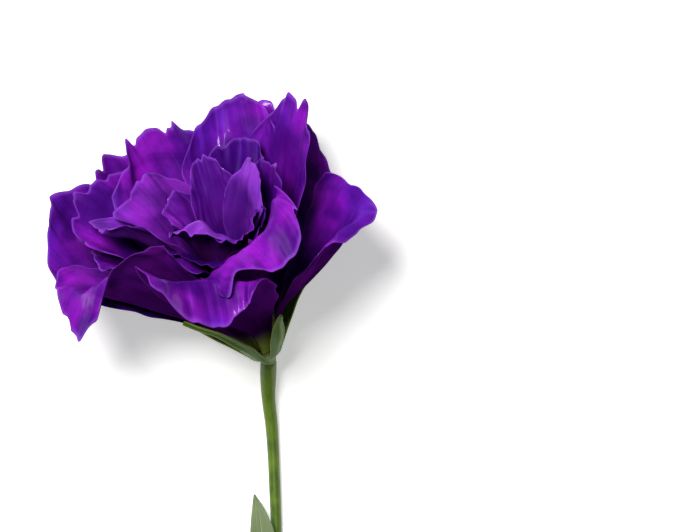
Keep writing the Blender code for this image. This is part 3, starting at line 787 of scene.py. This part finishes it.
# ---------------------------------------------------------------------------------------------------
# Outer ring: six broad petals, bright violet inside, and beneath dull and dark, partly with painted shade.
# The front one folds outwards and down in a lip, made brighter with painted light, and the two at the back
# lie on the surface.  They grow from the receptacle's edge.
# ---------------------------------------------------------------------------------------------------
OUTER_RING = {
    "foot": (4.7, 0.0),
    "sides": {
        5: [(9.5, 9), (20, 16), (30, 24), (36, 30.5), (39, 35.5)],
        25: [(11, 10), (22, 19), (31, 28), (36, 36), (38, 43)],
        62: [(14, 7), (26, 16), (36, 26), (43, 35), (46.5, 44)],
        90: [(13, 10), (22, 20), (29, 30), (34, 40), (37, 48)],
        118: [(14, 7), (26, 16), (36, 26), (43, 35), (46.5, 45)],
        130: [(13.5, 8.5), (25, 17.5), (34, 27.5), (39.5, 38.5), (42, 49)],
        138: [(13.3, 9.3), (24.5, 18.5), (33.5, 29), (38.5, 41.5), (40, 53.5)],
        144: [(13, 9.7), (24, 19), (34, 29), (40, 41), (42.5, 51.5)],
        150: [(13, 10), (24, 19), (34, 29), (41.5, 40), (45.2, 50)],
        160: [(13, 10.5), (24, 20), (34, 30), (41, 39.5), (44.2, 48)],
        168: [(12.5, 11), (23.5, 21), (33.5, 30), (41, 37.5), (45.5, 43)],
        178: [(12, 11), (23, 21), (33, 29.5), (41, 35), (47, 38.5)],
        187: [(11.6, 11), (22.2, 21.5), (32, 31), (40.5, 37.5), (47, 33.5)],
        196: [(11, 11.5), (21.2, 22.5), (30.5, 33.5), (38, 41), (48.5, 29)],
        202: [(10.2, 12), (19.5, 23.5), (27.8, 35.5), (34.5, 43.5), (43.5, 33)],
        208: [(9.6, 12), (18, 24), (25, 36.5), (30.5, 45), (34.5, 48)],
        216: [(9, 12), (17, 25), (22.5, 37), (26, 46), (28.5, 51.5)],
        224: [(8.7, 12), (16, 24.5), (21, 36.5), (23.5, 45), (25.5, 49.5)],
        233: [(8.5, 12), (15.5, 24), (20.8, 35.5), (25.5, 43), (32.5, 40)],
        244: [(8.2, 12), (14.5, 23.5), (19, 34), (23.5, 40), (32.5, 31.5)],
        256: [(8, 12), (13.5, 22.5), (17.5, 32), (22, 37), (30, 28)],
        268: [(8, 12), (13.5, 22), (17.8, 30.5), (22, 35.5), (29, 30.5)],
        284: [(8, 12), (13.8, 21), (18.4, 29), (22.5, 34), (26, 34.5)],
        305: [(8, 11), (14.6, 19.5), (21, 27), (25.5, 32), (28, 36)],
        325: [(8, 10.5), (15.8, 18), (23, 25.5), (27.5, 31.5), (29.5, 33.5)],
        338: [(8, 10), (16.8, 17.5), (24.5, 25), (29.5, 31), (33.5, 28)],
        350: [(8.8, 9.5), (18.5, 16.3), (28, 23.5), (35.5, 31.3), (40.5, 30.5)],
    },
}
# Painted shading below 0 is painted light: the front lip, and a little the front left and right petals, are
# painted brighter.
OUTER_PETALS = {
    "left": dict(azimuth=153, foot=163, width=21.5, left=-1.5, right=1.5, ruffle=0.9),
    "front_left": dict(azimuth=198, foot=223, width=20, left=-1.5, right=-1.4, ruffle=0.9, blunt=0.1,
                       folds=[(1.0, 0.9, 0.45, 0.45, -2.0, 0.5), (-0.1, 1.0, 0.4, 0.2, -3.5, -2.1)],
                       dim=-0.15),
    "front": dict(azimuth=256, foot=283, width=13, left=3.2, right=0.5, ruffle=0.75, blunt=0.06, torn=0.3,
                  folds=[(-1.0, 0.84, 0.4, 0.14, 5, 6), (-1.0, 1.05, 0.4, 0.14, 5, 7)], dim=-0.35),
    "right": dict(azimuth=352, foot=343, width=19, left=0.5, right=-1.5, ruffle=0.8,
                  rim=[(0.85, 0.35, -0.12)], dim=-0.1),
    "back_right": dict(azimuth=56, foot=43, width=23, left=1.5, right=-1.5, ruffle=1.0),
    "back_left": dict(azimuth=112, foot=103, width=23, left=1.5, right=1.5, ruffle=1.0,
                      rim=[(-0.2, 0.04, 0.06), (0.3, 0.04, 0.07), (0.62, 0.04, 0.06)]),
}
for number, (where, shape) in enumerate(OUTER_PETALS.items()):
    make_petal(f"bloom_outer_petal_{where}", "outer_petal_" + where, OUTER_RING, claw=2.1,
               seed=40.3 + number, **shape)


# ---------------------------------------------------------------------------------------------------
# Sepals: five narrow pointed green sepals that hug the outer petals from beneath, each with a keel
# along its middle.  They grow from the receptacle's edge.
# ---------------------------------------------------------------------------------------------------
# Where each sepal ends: its azimuth, and how far up the outer petals it reaches.
SEPAL_TIPS = [(90, 0.42), (158, 0.42), (207, 0.37), (304, 0.30), (14, 0.38)]
SEPAL_FOOT = (4.1, -2.6)
SEPAL_THICK = 0.5


def sepal_point(foot, azimuth, reach, u, v):
    """Where the grid point (u, v) of a sepal lies: just outside the outer petals, keeled and pointed."""
    turn = foot + ((azimuth - foot + 180) % 360 - 180) * smooth(v)
    keel = 0.75 * math.exp(-((u / 0.22) ** 2)) * smooth(v * 3)
    out = 1.15 + 1.3 * smooth(v * 2) + 0.35 * (1 - abs(u)) * smooth(v * 3) + keel
    half = (2.35 + 0.75 * smooth(v * 3)) * (1 - v**1.9) + 0.12
    r, z = off_ring(OUTER_RING, turn, v * reach, out)
    joined = 1 - smooth(v / 0.13)
    r += (SEPAL_FOOT[0] - r) * joined
    z += (SEPAL_FOOT[1] - z) * joined
    turn = math.radians(turn) + u * half / r
    return pressed(Vector((r * math.cos(turn), r * math.sin(turn), z)) * MM)


def sepal_skin():
    """Mid green, darker to the edges, with a pale keel and a thin pale border."""
    material, nodes, links, shader = new_material("sepal_skin")
    grain = add_group(nodes, SKIN_GRAIN, **{"Blotch Scale": 200.0})
    lines = add_group(nodes, VEINS, Count=12.0, Wander=1.0)
    place = nodes.new("ShaderNodeTexCoord")
    split = nodes.new("ShaderNodeSeparateXYZ")
    links.new(place.outputs["UV"], split.inputs[0])
    across = maths(nodes, links, "ABSOLUTE", maths(nodes, links, "SUBTRACT", split.outputs["X"], 0.5))
    green = blend(nodes, links, lines.outputs["Lines"], (0.018, 0.070, 0.005), (0.060, 0.16, 0.010))
    blotch = maths(nodes, links, "MULTIPLY", grain.outputs["Blotch"], 0.5)
    green = blend(nodes, links, blotch, green, (0.10, 0.22, 0.012))
    keel = maths(nodes, links, "SUBTRACT", 1.0, mask(nodes, links, across, 0.02, 0.14))
    green = blend(nodes, links, maths(nodes, links, "MULTIPLY", keel, 0.45), green, (0.26, 0.36, 0.04))
    border = maths(nodes, links, "MULTIPLY", mask(nodes, links, across, 0.42, 0.5), 0.6)
    green = blend(nodes, links, border, green, (0.40, 0.48, 0.09))
    links.new(green, shader.inputs["Base Color"])
    shader.inputs["Specular IOR Level"].default_value = 0.15
    rough = maths(nodes, links, "MULTIPLY_ADD", grain.outputs["Grain"], 0.2, 0.35)
    links.new(rough, shader.inputs["Roughness"])
    relief = nodes.new("ShaderNodeBump")
    relief.inputs["Distance"].default_value = 0.0001
    links.new(lines.outputs["Lines"], relief.inputs["Height"])
    links.new(relief.outputs["Normal"], shader.inputs["Normal"])
    return material


def thin_blade(name, cells, place, thickness):
    """A thin two-sided blade from a grid shaped by place(u, v), rounded by one subdivision."""
    bpy.ops.object.select_all(action="DESELECT")
    bpy.ops.mesh.primitive_grid_add(x_subdivisions=cells[0], y_subdivisions=cells[1], size=2)
    blade = bpy.context.object
    blade.name = name
    blade.data.name = name
    for vertex in blade.data.vertices:
        vertex.co = place(vertex.co.x, (vertex.co.y + 1) / 2)
    shell = blade.modifiers.new("shell", "SOLIDIFY")
    shell.thickness = thickness * MM
    shell.offset = 0
    bpy.ops.object.modifier_apply(modifier="shell")
    subdivided(blade)
    bpy.ops.object.shade_smooth()
    return blade


SEPAL_SKIN = sepal_skin()
for number, (azimuth, reach) in enumerate(SEPAL_TIPS):
    foot = 90 + 72 * number
    sepal = thin_blade(
        f"bloom_sepal_{number + 1}",
        (12, 24),
        lambda u, v, foot=foot, azimuth=azimuth, reach=reach: sepal_point(foot, azimuth, reach, u, v),
        SEPAL_THICK,
    )
    sepal.data.materials.append(SEPAL_SKIN)
    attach(sepal, "root")
    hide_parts(f"sepal_{number + 1}")


# ---------------------------------------------------------------------------------------------------
# Stem: a fresh green stem, solid and faintly ridged, thicker under the bloom and at the leaves' node.
# It was cut straight across below the node, and it lies along the surface.
# ---------------------------------------------------------------------------------------------------
# Its middle line down from the bloom and its thickness: (x, y, height above the surface, diameter).
STEM_ROUTE = [
    (1.5, -4.2, 7.4, 3.7),
    (1.45, -5.2, 6.7, 4.15),
    (1.35, -9.0, 4.7, 4.1),
    (1.4, -14.5, 3.0, 3.5),
    (2.2, -22.0, 1.75, 3.2),
    (2.7, -30.0, 1.5, 3.0),
    (3.1, -40.0, 1.48, 2.9),
    (3.4, -48.0, 1.43, 2.8),
    (3.6, -60.0, 1.43, 2.8),
    (3.65, -64.0, 1.75, 3.5),
    (3.7, -68.0, 1.43, 2.8),
    (3.9, -78.0, 1.38, 2.75),
    (4.1, -88.0, 1.35, 2.7),
]
STEM_STEPS = 72
# The stem's fine lines run along it: this many cells a metre in x, y and z.
STEM_LINES = (1400, 45, 1400)
# The bloom's foot is held this far above the surface.
FOOT_HEIGHT = 10.3


def on_surface(point):
    """A point given in millimetres from the spot under the bloom's foot, in metres in the scene."""
    return BLOOM_FOOT + Vector((point[0], point[1], point[2] - FOOT_HEIGHT)) * MM


def ridged(offset, number, turn):
    """Four low ridges run down the stem from the leaf bases above."""
    return offset * (1 + 0.035 * math.cos(4 * turn + 0.01 * number))


route = [along(STEM_ROUTE, i / STEM_STEPS) for i in range(STEM_STEPS + 1)]
centres = [on_surface(point) for point in route]
stem_rings = []
for i, centre in enumerate(centres):
    ahead = centres[min(i + 1, STEM_STEPS)] - centres[max(i - 1, 0)]
    stem_rings.append((centre, ahead, route[i][3] / 2 * MM))
stem = grown("flower_stem", stem_rings, 32, ridged)
STEM_SKIN = green_skin("stem_skin", (0.045, 0.105, 0.004), (0.115, 0.205, 0.014), 0.4, line_scale=STEM_LINES)
stem.data.materials.append(STEM_SKIN)
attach(stem, "root")
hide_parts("stem")


# ---------------------------------------------------------------------------------------------------
# Leaves: an opposite pair without stalks, grey-green and waxy, clasping the node.  The left one rises
# beside the stem towards the bloom, and the right one spreads over the surface.
# ---------------------------------------------------------------------------------------------------
LEAF_THICK = 0.5
LEAF_WIDTH = 4.3
# Each leaf's midrib, from the node to its tip.
LEAF_LEFT = [
    (2.6, -64.4, 1.7),
    (1.3, -62.6, 2.1),
    (0.6, -57.5, 3.5),
    (-0.2, -50.5, 5.1),
    (-1.2, -44.5, 5.5),
    (-2.3, -39.8, 4.8),
]
LEAF_RIGHT = [
    (4.7, -64.4, 1.7),
    (6.6, -63.3, 2.1),
    (10.5, -61.0, 3.0),
    (16.0, -57.5, 3.5),
    (21.5, -54.0, 3.1),
    (27.0, -50.5, 1.9),
]


def leaf_point(line, side, u, v):
    """Where the grid point (u, v) of a leaf lies: upright where it clasps the node, and then flat."""
    x0, y0, _ = along(line, max(v - 0.02, 0))
    x1, y1, _ = along(line, min(v + 0.02, 1))
    run = Vector((x1 - x0, y1 - y0, 0)).normalized()
    across = Vector((run.y, -run.x, 0)) * -side
    roll = math.radians(72 * (1 - smooth(v / 0.35)) + 8)
    half = (1.0 + (LEAF_WIDTH - 1.0) * smooth(v / 0.45)) * (1.04 - max((v - 0.3) / 0.7, 0) ** 1.6)
    way = across * math.cos(roll) - Vector((0, 0, math.sin(roll)))
    fold = 0.16 * abs(u) ** 1.5 * half + 0.12 * math.sin(9 * v + 2 * u)
    return on_surface(Vector(along(line, v)) + Vector((0, 0, fold)) + way * (u * half))


def leaf_skin():
    """Grey-green with a waxy bloom, a pale midrib and two curved side veins."""
    material, nodes, links, shader = new_material("leaf_skin")
    grain = add_group(nodes, SKIN_GRAIN, **{"Blotch Scale": 160.0})
    lines = add_group(nodes, VEINS, Count=22.0, Wander=3.0)
    place = nodes.new("ShaderNodeTexCoord")
    split = nodes.new("ShaderNodeSeparateXYZ")
    links.new(place.outputs["UV"], split.inputs[0])
    across = maths(nodes, links, "ABSOLUTE", maths(nodes, links, "SUBTRACT", split.outputs["X"], 0.5))
    green = blend(nodes, links, lines.outputs["Lines"], (0.09, 0.155, 0.05), (0.19, 0.27, 0.11))
    blotch = maths(nodes, links, "MULTIPLY", grain.outputs["Blotch"], 0.5)
    green = blend(nodes, links, blotch, green, (0.27, 0.34, 0.19))
    midrib = maths(nodes, links, "SUBTRACT", 1.0, mask(nodes, links, across, 0.01, 0.05))
    side_vein = maths(nodes, links, "ABSOLUTE", maths(nodes, links, "SUBTRACT", across, 0.22))
    side_vein = maths(nodes, links, "SUBTRACT", 1.0, mask(nodes, links, side_vein, 0.005, 0.03))
    vein = maths(nodes, links, "MAXIMUM", midrib, maths(nodes, links, "MULTIPLY", side_vein, 0.5))
    green = blend(nodes, links, maths(nodes, links, "MULTIPLY", vein, 0.6), green, (0.45, 0.52, 0.28))
    links.new(green, shader.inputs["Base Color"])
    rough = maths(nodes, links, "MULTIPLY_ADD", grain.outputs["Grain"], 0.2, 0.4)
    links.new(rough, shader.inputs["Roughness"])
    relief = nodes.new("ShaderNodeBump")
    relief.inputs["Distance"].default_value = 0.0002
    links.new(maths(nodes, links, "SUBTRACT", lines.outputs["Lines"], vein), relief.inputs["Height"])
    links.new(relief.outputs["Normal"], shader.inputs["Normal"])
    return material


LEAF_SKIN = leaf_skin()
for where, line, side in (("left", LEAF_LEFT, 1), ("right", LEAF_RIGHT, -1)):
    leaf = thin_blade(
        where + "_leaf",
        (14, 30),
        lambda u, v, line=line, side=side: leaf_point(line, side, u, v),
        LEAF_THICK,
    )
    leaf.data.materials.append(LEAF_SKIN)
    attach(leaf, "root")
    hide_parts("leaf_" + where)


# ---------------------------------------------------------------------------------------------------
# Floor, light and camera: a plain pale surface that glows faintly, painted light that pales its shadows,
# soft light from above and beyond the bloom, and a long lens that looks straight down.
# ---------------------------------------------------------------------------------------------------
bpy.ops.object.select_all(action="DESELECT")
bpy.ops.mesh.primitive_plane_add(size=6)
floor = bpy.context.object
floor.name = "pale_glowing_floor"
glowing_floor_paint, nodes, links, shader = new_material("pale_glowing_floor")
speck = add_group(nodes, SKIN_GRAIN, **{"Blotch Scale": 3.0, "Grain Scale": 60.0})
links.new(blend(nodes, links, speck.outputs["Blotch"], (0.86, 0.86, 0.86), (0.90, 0.90, 0.90)),
          shader.inputs["Base Color"])
shader.inputs["Roughness"].default_value = 0.8
shader.inputs["Specular IOR Level"].default_value = 0.2
# The floor's faint glow is painted light: it pales the bloom's shadow on the floor and lights the bloom from
# below.
links.new(blend(nodes, links, speck.outputs["Grain"], (0.97, 0.97, 0.97), (1.0, 1.0, 1.0)),
          shader.inputs["Emission Color"])
shader.inputs["Emission Strength"].default_value = 0.45
floor.data.materials.append(glowing_floor_paint)


BLOOM_MIDDLE = BLOOM_FOOT + AXIS * 30 * MM


def area_light(name, offset, size, power, colour):
    """A round soft light, offset from the bloom's middle and turned towards it."""
    lamp = bpy.data.lights.new(name, "AREA")
    lamp.shape = "DISK"
    lamp.size = size
    lamp.energy = power
    lamp.color = colour
    holder = bpy.data.objects.new(name, lamp)
    bpy.context.scene.collection.objects.link(holder)
    holder.location = BLOOM_MIDDLE + Vector(offset)
    holder.rotation_euler = (-Vector(offset)).to_track_quat("-Z", "Y").to_euler()


area_light("key_light", (-0.35, 0.45, 1.1), size=0.55, power=22, colour=(1.0, 0.97, 0.96))
area_light("fill_light", (0.3, -0.3, 1.3), size=1.2, power=1.0, colour=(0.93, 0.95, 1.0))
world = bpy.data.worlds.new("studio")
bpy.context.scene.world = world
world.use_nodes = True
sky = world.node_tree.nodes["Background"]
sky.inputs["Color"].default_value = (0.95, 0.97, 1.0, 1)
sky.inputs["Strength"].default_value = 0.06
bpy.context.scene.view_settings.view_transform = "Standard"

# The view is this wide, from this far above the bloom, with its middle this far from the bloom's foot.
VIEW_WIDTH = 0.175
VIEW_DISTANCE = 1.2
VIEW_ASIDE = Vector((0.0194, 0.0205))
VIEW_LEVEL = 0.025
camera = bpy.data.cameras.new("camera")
camera.sensor_width = 36
camera.lens = 36 * VIEW_DISTANCE / VIEW_WIDTH
camera.clip_start = 0.05
camera.clip_end = 10
eye = bpy.data.objects.new("camera", camera)
bpy.context.scene.collection.objects.link(eye)
eye.location = (*(BLOOM_FOOT.xy + VIEW_ASIDE), VIEW_LEVEL + VIEW_DISTANCE)
bpy.context.scene.camera = eye
